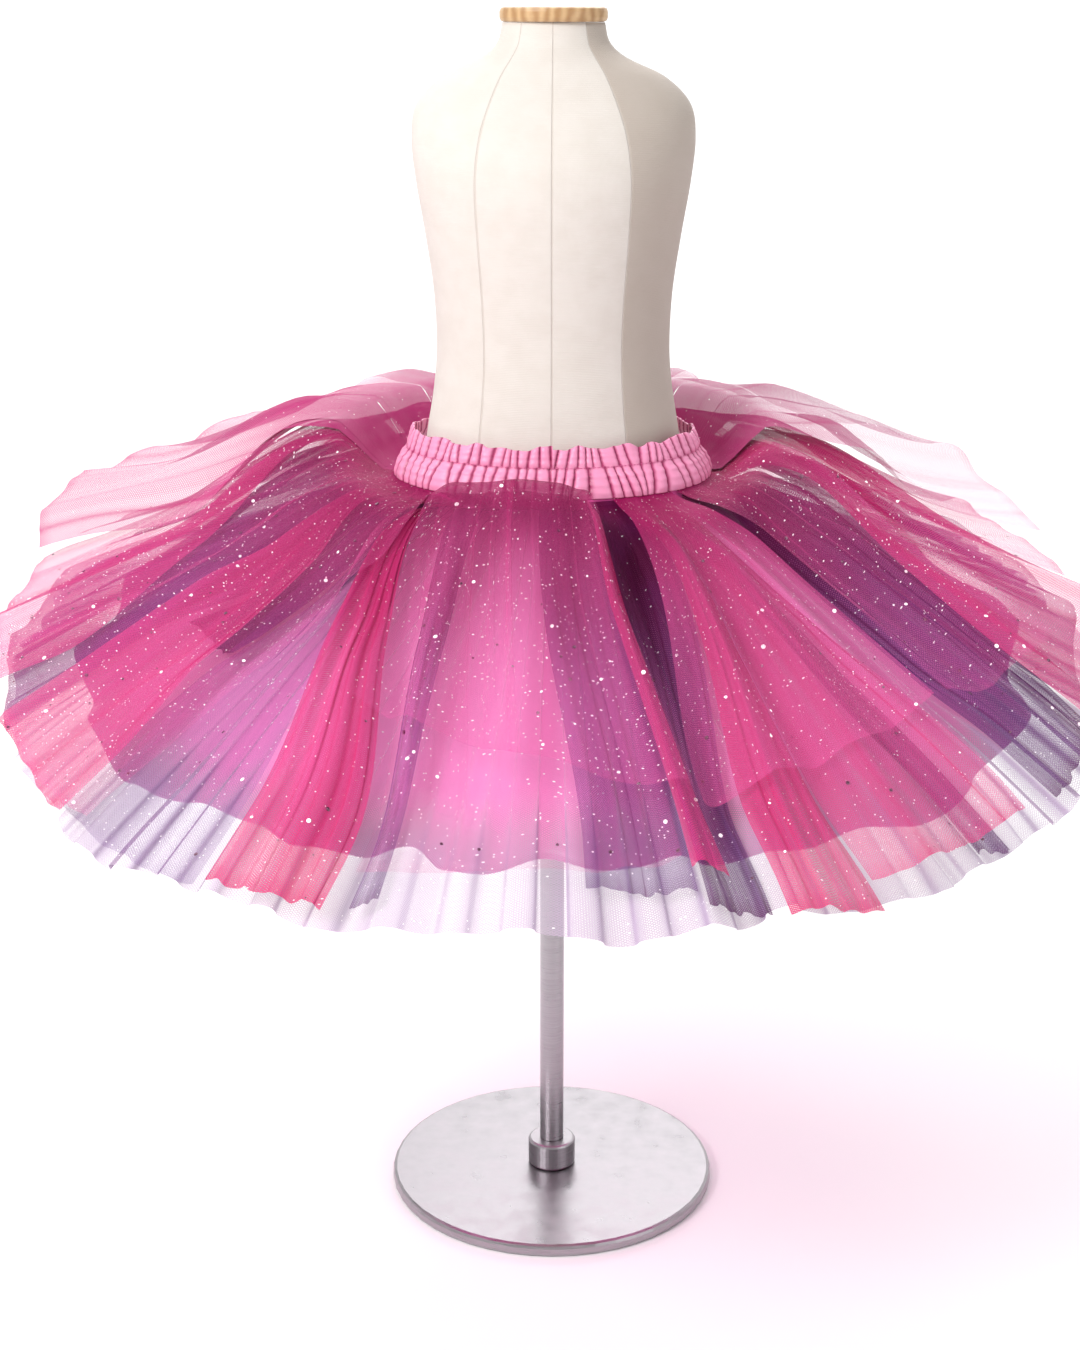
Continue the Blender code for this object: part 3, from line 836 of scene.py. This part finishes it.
def stitch_tree():
    """A stitch on each point of a line: X turned along it, and Z kept upright."""
    tree = Tree("lay stitches", line="Object", stitch="Object", finish="Material")
    along = tree.node("GeometryNodeInputNamedAttribute", data_type="FLOAT_VECTOR")
    along.inputs["Name"].default_value = "along"
    ahead = tree.node("FunctionNodeAlignRotationToVector", {"Vector": along.outputs[0]}, axis="X")
    feeds = {"Rotation": ahead.outputs[0], "Vector": (0.0, 0.0, 1.0)}
    upright = tree.node("FunctionNodeAlignRotationToVector", feeds, axis="Z", pivot_axis="X")
    tree.place(points=tree.shape_of("line"), instance=tree.shape_of("stitch"),
               rotation=upright.outputs[0])
    return tree


line = stitch_line(band_grid)
stitch = one_stitch()
laid = stitch_tree().grown(line=line, stitch=stitch, finish=THREAD)
for used in (line, stitch):
    bpy.data.objects.remove(used, do_unlink=True)
joined("band_stitches", [laid], THREAD, smoothed=True)


# %% [markdown]
# ## Satin lining
# One flared ring of satin under the nets. It falls in broad soft flutes, shallow at the seam and
# deep at the hem, with a wavy edge. `FLUTES` lists the ones in front; behind they go on
# in the same uneven way. At the left of the middle the edge tips up in a small turned fold.

# %% Satin lining
Flute = namedtuple("Flute", "azimuth height reach")
FLUTES = rows_of(
    Flute,
    (-180, 0.2, 0.85), (-168, 0.9, 0.87), (-154, 0.1, 0.84), (-138, 0.8, 0.88),
    (-126, 0.2, 0.84), (-110, 1.0, 0.87), (-98, 0.1, 0.83), (-86, 0.7, 0.87), (-76, 0.2, 0.85),
    (-66, 0.9, 0.845), (-58, 0.3, 0.86), (-50, 0.8, 0.848), (-43, 0.2, 0.815),
    (-35, 0.6, 0.828), (-27, 0.9, 0.858), (-20, 0.8, 0.85), (-15, 0.1, 0.815),
    (-11, 0.5, 0.858), (-7, 0.9, 0.868), (-1, 0.1, 0.828), (5, 0.9, 0.86), (12, 0.1, 0.84),
    (22, 0.8, 0.86), (33, 0.2, 0.84), (46, 0.9, 0.87), (58, 0.2, 0.84), (72, 0.8, 0.87),
    (84, 0.1, 0.84), (99, 0.9, 0.88), (113, 0.2, 0.84), (128, 0.9, 0.87), (146, 0.1, 0.84),
    (162, 0.8, 0.87), (180, 0.2, 0.85),
)
LINING_COLUMNS = 720
LINING_ROWS = 40


def build_lining():
    azimuth = (np.arange(LINING_COLUMNS) * 360.0 / LINING_COLUMNS)[:, None]
    down = np.linspace(0.0, 1.0, LINING_ROWS)[None, :] ** 1.1
    height, reach = eased(FLUTES, turned(azimuth))
    share = reach * down
    small = wander(azimuth / 360.0 * 140.0, 23) - 0.5
    pleat = height * smooth(share / 0.7) + 0.25 * small * (1.0 - smooth(share / 0.8))
    tip = np.exp(-(((turned(azimuth) + 17.5) / 2.6) ** 2)) * smooth((down - 0.86) / 0.14)
    points = tucked(layer_points(LINING, share, azimuth, np.clip(pleat, 0.0, 1.1) + 0.5 * tip), azimuth)
    faces = grid_faces(LINING_COLUMNS, LINING_ROWS + 1, closed=True)
    piece = mesh_piece("lining_satin_skirt", points, faces, LINING_SATIN)
    width, length, area = cut_of(points)
    lay_flat(piece, points, width, closed=True)
    # Painted shade: the satin is darkened in the troughs of the flutes and near the seam.
    dark = 0.55 * (1.0 - pleat) * smooth(share / 0.25) + 0.9 * (1.0 - smooth(share / 0.2))
    mark(piece, "groove", with_tuck(np.clip(dark, 0.0, 1.0)))
    wall = piece.modifiers.new("cloth thickness", "SOLIDIFY")
    wall.thickness = 0.0007
    wall.offset = 1.0
    wall.use_even_offset = False
    return piece, (width, length, area)


lining, lining_cut = build_lining()
hand_over(lining, "satin_lining", lining_cut)


# %% [markdown]
# ## Net strips
# Each strip of tulle is gathered at the waist and spreads to the hem, so its two side edges have
# an azimuth at the seam and another at the hem. Across its width the cloth runs in S-folds: on
# the flank of each fold it doubles back over itself, which is what draws the crisp dark rays.
# A strip could be simulated, but laid folds keep it on its solid and let every strip be placed.
# `length` and `end_length` say how far down the slope its two edges reach, `thin` is how much
# light one flat layer of that net stops, and the two lifts say how high its edges stand.

# %% Net strips
Strip = namedtuple(
    "Strip",
    "start start_hem end end_hem length end_length folds thin start_lift end_lift",
    defaults=(1.0, 1.0),
)
PURPLE_STRIPS = rows_of(
    Strip,
    (-4, 3, 12, 12.5, 0.92, 0.95, 4, 0.42), (13.5, 13.2, 29, 19, 0.98, 1.0, 4, 0.6),
    (36, 44, 44, 47, 0.97, 1.0, 3, 0.52), (56, 58, 88, 72, 0.98, 0.96, 6, 0.58),
    (90, 74.5, 142, 134, 0.95, 0.93, 5, 0.42), (160, 160, 196, 196, 0.93, 0.95, 6, 0.4),
    (216, 214, 250, 252, 0.95, 0.93, 6, 0.4), (253, 258, 299, 289, 0.96, 1.0, 5, 0.54),
    (300, 290, 313, 303, 0.55, 0.54, 3, 0.66), (314, 304, 318, 327, 0.97, 1.0, 4, 0.2),
    (331, 342, 340, 344.5, 0.98, 0.96, 3, 0.46),
)
PINK_STRIPS = rows_of(
    Strip,
    (-30, -18, 8, 11.5, 0.92, 0.9, 4, 0.1), (8.7, 12, 13, 15.5, 0.92, 0.94, 2, 0.55),
    (28, 19.5, 33, 28, 1.02, 1.04, 4, 0.66), (34, 28.6, 44, 50, 0.98, 0.95, 5, 0.46),
    (84, 68, 114, 94, 1.0, 0.97, 4, 0.56), (118, 98, 142, 124, 0.97, 0.95, 4, 0.46),
    (148, 130, 172, 160, 0.96, 0.94, 6, 0.4), (194, 200, 236, 254, 0.96, 0.95, 7, 0.42),
    (240, 258, 263, 282, 0.99, 1.0, 4, 0.52), (288, 290, 296, 309, 0.97, 0.98, 4, 0.56),
    (317, 330, 324, 340.5, 1.0, 1.0, 4, 0.66),
)
TOP_STRIPS = rows_of(
    Strip,
    (-95, -92, -34, -46, 0.93, 0.97, 6, 0.16), (-33, -24, 10, 14, 0.58, 0.78, 5, 0.15),
    (24, 15, 50, 50, 0.79, 0.68, 4, 0.26), (53, 51, 88, 80, 0.7, 0.82, 4, 0.14),
)
VEIL_STRIPS = rows_of(
    Strip,
    (97, 104, 139.9, 138.0, 0.93, 0.78, 3, 0.34, 0.62, 1.15),
    (140, 138.2, 221.9, 223.8, 0.42, 0.42, 8, 0.34, 1.15, 1.15),
    (222, 224, 240.2, 245.4, 0.78, 0.9, 2, 0.56, 1.15, 0.9),
    (240.3, 245.5, 264.7, 261, 0.98, 0.95, 2, 0.58, 0.9, 0.6),
)
COLUMNS_PER_FOLD = 36
STRIP_ROWS = 34
FRAY = 0.012
LOOSE = 0.35
CALM_FROM = 0.35
CALMED = 0.70
SHADOW_REACH = 0.66
TOP_SHADOW_REACH = 0.38


def seam_crowding(share):
    """How many times over the net is closed up by its gathers, from the seam outwards."""
    return 1.0 + 1.9 * (1.0 - smooth(share / 0.62)) ** 1.5 + 7.0 * (1.0 - smooth(share / 0.16))


def s_folds(columns, folds, seed, share):
    """Where a strip's columns lie across it (0 to 1) and how high they stand (0 to 1)."""
    u = np.linspace(0.0, 1.0, columns)[:, None]
    drift = 0.085 * np.sin(math.tau * u + math.tau * hashed(seed + 0.1))
    drift = drift + 0.030 * np.sin(2.0 * math.tau * u + math.tau * hashed(seed + 0.2))
    turn = math.tau * folds * (u + drift * np.sin(math.pi * u) ** 2)
    uneven = wander(turn / math.pi, seed + 5.0)
    lap = (0.08 + 0.85 * uneven**2.5) * (1.10 - 0.45 * smooth(share / 0.9))
    across = (turn + lap * np.sin(2.0 * turn)) / (math.tau * folds)
    tall = 0.5 - 0.5 * np.cos(turn) * (0.45 + 0.55 * wander(turn / math.tau, seed + 9.0))
    return across, tall + 0.0 * share


def build_strip(name, layer, strip, seed, finish):
    columns = int(COLUMNS_PER_FOLD * strip.folds) + 1
    down = (np.linspace(0.0, 1.0, STRIP_ROWS)[None, :]) ** 1.25
    across, tall = s_folds(columns, strip.folds, seed, down)
    frayed = FRAY * (wander(across * strip.folds * 3.0, seed + 2.0) - 0.5)
    reach = strip.length + (strip.end_length - strip.length) * across + frayed
    share = reach * down
    fan = smooth(share / FAN_SHARE)
    start = strip.start + (strip.start_hem - strip.start) * fan
    end = strip.end + (strip.end_hem - strip.end) * fan
    azimuth = start + (end - start) * across
    loose = LOOSE * (wander(share * 5.0 + 3.0 * across, seed + 13.0) - 0.5)
    tilt = strip.start_lift + (strip.end_lift - strip.start_lift) * across
    calm = 1.0 - CALMED * smooth((down - CALM_FROM) / (1.0 - CALM_FROM))
    tall = np.clip(tall + loose * tall, 0.0, 1.0) * calm
    points = tucked(layer_points(layer, share, azimuth, tall, tilt), azimuth)
    azimuth, share, across, down = map(with_tuck, (azimuth, share, across, down))
    piece = mesh_piece(name, points, grid_faces(columns, STRIP_ROWS + 1, closed=False), finish)
    width, length, area = cut_of(points)
    lay_flat(piece, points, width, closed=False)
    radius = np.hypot(points[..., 0], points[..., 1])
    seen = np.abs(np.gradient(np.radians(azimuth), axis=0)) * radius
    mean = seen.mean(axis=0, keepdims=True)
    doubled = np.clip(mean / np.maximum(seen, 0.1 * mean), 0.6, 6.0)
    fine = 0.86 + 0.28 * wander(across * strip.folds * 9.0 + 0.6 * share, seed + 17.0)
    edge = 1.0 + 0.5 * smooth((down - 0.985) / 0.01)
    closed_up = (0.80 + 0.20 * doubled) * fine * edge * seam_crowding(share)
    mark(piece, "gather", 1.0 - (1.0 - strip.thin) ** closed_up)
    # Painted shade: `depth` is 1 at the seam and fades down the slope; the finish darkens the net by it.
    reach = TOP_SHADOW_REACH if layer.order == TOP_SHEER.order else SHADOW_REACH
    mark(piece, "depth", (1.0 - smooth(share / reach)) ** 1.1 + 0.0 * across)
    return piece, (width, length, area)


def add_strips(label, node, layer, strips, finish):
    made = []
    for number, strip in enumerate(strips, start=1):
        piece, cut = build_strip(f"{label}_{number}", layer, strip, layer.order * 20 + number, finish)
        hand_over(piece, f"{node}_{number}", cut)
        made.append(piece)
    return made


purple_nets = add_strips("purple_net", "purple_panel", PURPLE, PURPLE_STRIPS, PURPLE_NET)
pink_nets = add_strips("pink_net", "pink_panel", PINK, PINK_STRIPS, PINK_NET)
top_nets = add_strips("top_net", "top_sheer", TOP_SHEER, TOP_STRIPS, SHEER_NET)
add_strips("veil_net", "back_veil", BACK_VEIL, VEIL_STRIPS, VEIL_NET)


# %% [markdown]
# ## Long pale net
# The longest layer is one ring of pale net that shows below everything else. It has the same
# S-folds as the strips, but they close on themselves all the way round.

# %% Long pale net
LONG_FOLDS = 62
LONG_COLUMNS = 1240
LONG_ROWS = 26


def build_long_net():
    u = (np.arange(LONG_COLUMNS) / LONG_COLUMNS)[:, None]
    down = (np.linspace(0.0, 1.0, LONG_ROWS)[None, :]) ** 1.2
    drift = 0.004 * np.sin(5.0 * math.tau * u + 1.0) + 0.003 * np.sin(11.0 * math.tau * u)
    turn = math.tau * LONG_FOLDS * (u + drift)
    uneven = 0.5 + 0.3 * np.sin(7.0 * math.tau * u) + 0.2 * np.sin(17.0 * math.tau * u + 2.0)
    lap = (0.25 + 0.70 * uneven) * (1.1 - 0.5 * smooth(down))
    azimuth = (turn + lap * np.sin(2.0 * turn)) / LONG_FOLDS * 360.0 / math.tau
    tall = (0.5 - 0.5 * np.cos(turn)) * (0.4 + 0.6 * uneven)
    share = down * (1.0 + 0.010 * np.sin(13.0 * math.tau * u) + 0.006 * np.sin(31.0 * math.tau * u))
    points = tucked(layer_points(LONG_TULLE, share, azimuth, np.clip(tall, 0.0, 1.0)), azimuth)
    azimuth = with_tuck(azimuth)
    share = with_tuck(share)
    faces = grid_faces(LONG_COLUMNS, LONG_ROWS + 1, closed=True)
    piece = mesh_piece("long_pale_net", points, faces, PALE_NET)
    width, length, area = cut_of(points)
    lay_flat(piece, points, width, closed=True)
    seen = np.abs(np.roll(azimuth, -1, axis=0) - azimuth)
    seen = np.radians(np.minimum(seen, 1.0)) * np.hypot(points[..., 0], points[..., 1])
    crowding = (width / LONG_COLUMNS) / np.maximum(seen, width / LONG_COLUMNS * 0.12)
    fine = 0.65 + 0.70 * wander(u * 520.0, 77.0)
    crowding = (0.55 + 0.45 * crowding) * fine
    over_lining = 1.0 - 0.86 * (1.0 - smooth((share - 0.70) / 0.16))
    mark(piece, "gather", 1.0 - (1.0 - 0.58 * over_lining) ** np.clip(crowding, 0.5, 5.0))
    # Painted shade: `depth` darkens the pale net near the waist.
    mark(piece, "depth", 1.0 - smooth(share / 0.42) + 0.0 * u)
    return piece, (width, length, area)


long_net, long_cut = build_long_net()
hand_over(long_net, "long_tulle", long_cut)


# %% [markdown]
# ## Sequins
# Sequins are scattered over the outer nets with Geometry Nodes: points on the faces, a small
# eight-sided disc on each, turned at random, then made real. The bright ones vary in size, and a
# second set is dark plum. The bright ones also glow faintly, a painted glint, though they are no
# lamp.

# %% Scatter with Geometry Nodes
SEQUIN_SIDES = 8
SEQUIN_DEPTH = 0.00016
SEQUIN_LIFT = 0.0006
SMALLEST = 0.35
LARGEST = 1.35
SEQUIN_TILT = 0.35
BRIGHT_SEED = 1
PLUM_SEED = 51


def scatter_tree():
    """Discs on the faces of a sheet."""
    tree = Tree("scatter sequins", sheet="Object", spacing="Float", density="Float", radius="Float",
                seed="Int", finish="Material")
    given = tree.given
    feeds = {"Mesh": tree.shape_of("sheet"), "Distance Min": given["spacing"],
             "Density Max": given["density"], "Seed": given["seed"]}
    spread = tree.node("GeometryNodeDistributePointsOnFaces", feeds, distribute_method="POISSON")
    spread = spread.outputs
    feeds = {0: spread["Normal"], "Scale": SEQUIN_LIFT}
    away = tree.node("ShaderNodeVectorMath", feeds, operation="SCALE").outputs[0]
    feeds = {"Geometry": spread["Points"], "Offset": away}
    raised = tree.node("GeometryNodeSetPosition", feeds).outputs[0]
    feeds = {"Vertices": SEQUIN_SIDES, "Depth": SEQUIN_DEPTH, "Radius": given["radius"]}
    disc = tree.node("GeometryNodeMeshCylinder", feeds).outputs["Mesh"]
    feeds = {2: SMALLEST, 3: LARGEST, "Seed": given["seed"]}
    size = tree.node("FunctionNodeRandomValue", feeds, data_type="FLOAT").outputs[1]
    feeds = {0: (-SEQUIN_TILT, -SEQUIN_TILT, 0.0), 1: (SEQUIN_TILT, SEQUIN_TILT, math.tau),
             "Seed": given["seed"]}
    tilt = tree.node("FunctionNodeRandomValue", feeds, data_type="FLOAT_VECTOR").outputs[0]
    feeds = {"Rotation": spread["Rotation"], "Rotate By": tilt}
    turn = tree.node("FunctionNodeRotateRotation", feeds, rotation_space="LOCAL").outputs[0]
    tree.place(points=raised, instance=disc, rotation=turn, scale=size)
    return tree


def scattered(tree, sheets, first_seed, **values):
    """One set of sequins over all the sheets, each with a seed of its own."""
    return [tree.grown(sheet=sheet, seed=seed, **values) for seed, sheet in enumerate(sheets, first_seed)]


def sequin_finish(name, colour, painted_glow, roughness, metallic):
    shop = Shop(name, roughness=roughness, metallic=metallic)
    tint = shop.noise(shop.where("Object"), 900.0, 1.0)
    pinker = shop.mix(0.6, colour, shade(250, 200, 225))
    mixed = shop.mix(shop.between(tint, 0.35, 0.65, 0.0, 0.5), colour, pinker)
    return shop.set(base_color=mixed, emission_color=colour, emission_strength=painted_glow,
                    specular_ior_level=0.8)


# Painted light: the bright sequins glow faintly for their glints, though they are no lamp.
BRIGHT_SEQUIN = sequin_finish("bright_sequin", shade(255, 246, 250), 0.45, 0.2, 0.0)
PLUM_SEQUIN = sequin_finish("plum_sequin", shade(86, 22, 62), 0.0, 0.25, 0.4)

SCATTER = scatter_tree()
OUTER_NETS = top_nets + pink_nets + purple_nets
bright = scattered(SCATTER, OUTER_NETS, BRIGHT_SEED, finish=BRIGHT_SEQUIN,
                   spacing=0.020, density=260.0, radius=0.00120)
plum = scattered(SCATTER, OUTER_NETS, PLUM_SEED, finish=PLUM_SEQUIN,
                 spacing=0.018, density=420.0, radius=0.00110)
joined("bright_sequins", bright, BRIGHT_SEQUIN, smoothed=False)
joined("plum_sequins", plum, PLUM_SEQUIN, smoothed=False)


# %% [markdown]
# ## Studio
# A pale floor that sweeps up into a plain backdrop, a broad soft key light from the upper left,
# a weaker fill from the right, a lamp behind, one on the backdrop, and an even white surround.
# Light has to pass through many layers of net, so the count of see-through bounces is raised.

# %% Floor, lights and camera
FLOOR_DEPTH = 2.7
STUDIO_SIZE = 5.0
SWEEP_RADIUS = 1.0
SWEEP_STEPS = 12
AIM = (0.0, 0.0, 0.5)
BEHIND = (0.0, 3.4, 0.3)
LAMPS = (
    ("key", (-1.7, -1.7, 2.3), AIM, 1.1, 70.0, (1.0, 0.99, 0.98)),
    ("fill", (2.2, -1.6, 1.3), AIM, 2.0, 16.0, (1.0, 0.98, 1.0)),
    ("back", (0.4, 2.0, 2.4), AIM, 1.8, 26.0, (1.0, 1.0, 1.0)),
    ("backdrop", (0.0, 1.4, 3.0), BEHIND, 2.0, 45.0, (1.0, 1.0, 1.0)),
)
SURROUND = 0.52
LENS = 57.3
CAMERA_PLACE = (0.0, -1.5732, 0.9116)
CAMERA_DIP = 17.1
CAMERA_TURN = 0.35
NET_BOUNCES = 40


def build_sweep():
    shop = Shop("studio_paper", roughness=0.9)
    tone = shop.noise(shop.where("Object"), 1.5, 2.0)
    tone = shop.between(tone, 0.3, 0.7, 0.0, 0.4)
    shop.set(base_color=shop.mix(tone, shade(252, 252, 252), shade(246, 246, 247)))
    profile = [(-STUDIO_SIZE, 0.0), (FLOOR_DEPTH, 0.0)]
    for step in range(1, SWEEP_STEPS + 1):
        turn = math.pi / 2 * step / SWEEP_STEPS
        ahead, up = SWEEP_RADIUS * math.sin(turn), SWEEP_RADIUS * (1.0 - math.cos(turn))
        profile.append((FLOOR_DEPTH + ahead, up))
    profile.append((FLOOR_DEPTH + SWEEP_RADIUS, STUDIO_SIZE))
    points = np.array([[(x, y, z) for y, z in profile] for x in (-STUDIO_SIZE, STUDIO_SIZE)])
    faces = [face[::-1] for face in grid_faces(2, len(profile), closed=False)]
    return mesh_piece("studio_sweep", points, faces, shop.made)


def soft_light(name, place, aim, size, power, colour):
    data = bpy.data.lights.new(name, "AREA")
    data.shape = "SQUARE"
    data.size = size
    data.energy = power
    data.color = colour
    lamp = bpy.data.objects.new(name, data)
    lamp.location = place
    direction = np.array(aim) - np.array(place)
    dip = math.atan2(math.hypot(direction[0], direction[1]), -direction[2])
    lamp.rotation_euler = (dip, 0.0, math.atan2(-direction[0], direction[1]))
    bpy.context.scene.collection.objects.link(lamp)


build_sweep()
for lamp in LAMPS:
    soft_light(*lamp)

world = bpy.data.worlds.new("studio surround")
world.use_nodes = True
surround = world.node_tree.nodes["Background"]
surround.inputs["Color"].default_value = (1.0, 1.0, 1.0, 1.0)
surround.inputs["Strength"].default_value = SURROUND
bpy.context.scene.world = world

lens = bpy.data.cameras.new("camera")
lens.lens = LENS
lens.sensor_width = 36.0
lens.sensor_fit = "AUTO"
camera = bpy.data.objects.new("camera", lens)
camera.location = CAMERA_PLACE
camera.rotation_euler = (math.radians(90.0 - CAMERA_DIP), 0.0, math.radians(CAMERA_TURN))
bpy.context.scene.collection.objects.link(camera)
bpy.context.scene.camera = camera
bpy.context.scene.view_settings.view_transform = "Standard"
bpy.context.scene.cycles.transparent_max_bounces = NET_BOUNCES
print("studio:", len(LAMPS), "lamps, lens", LENS, "mm")
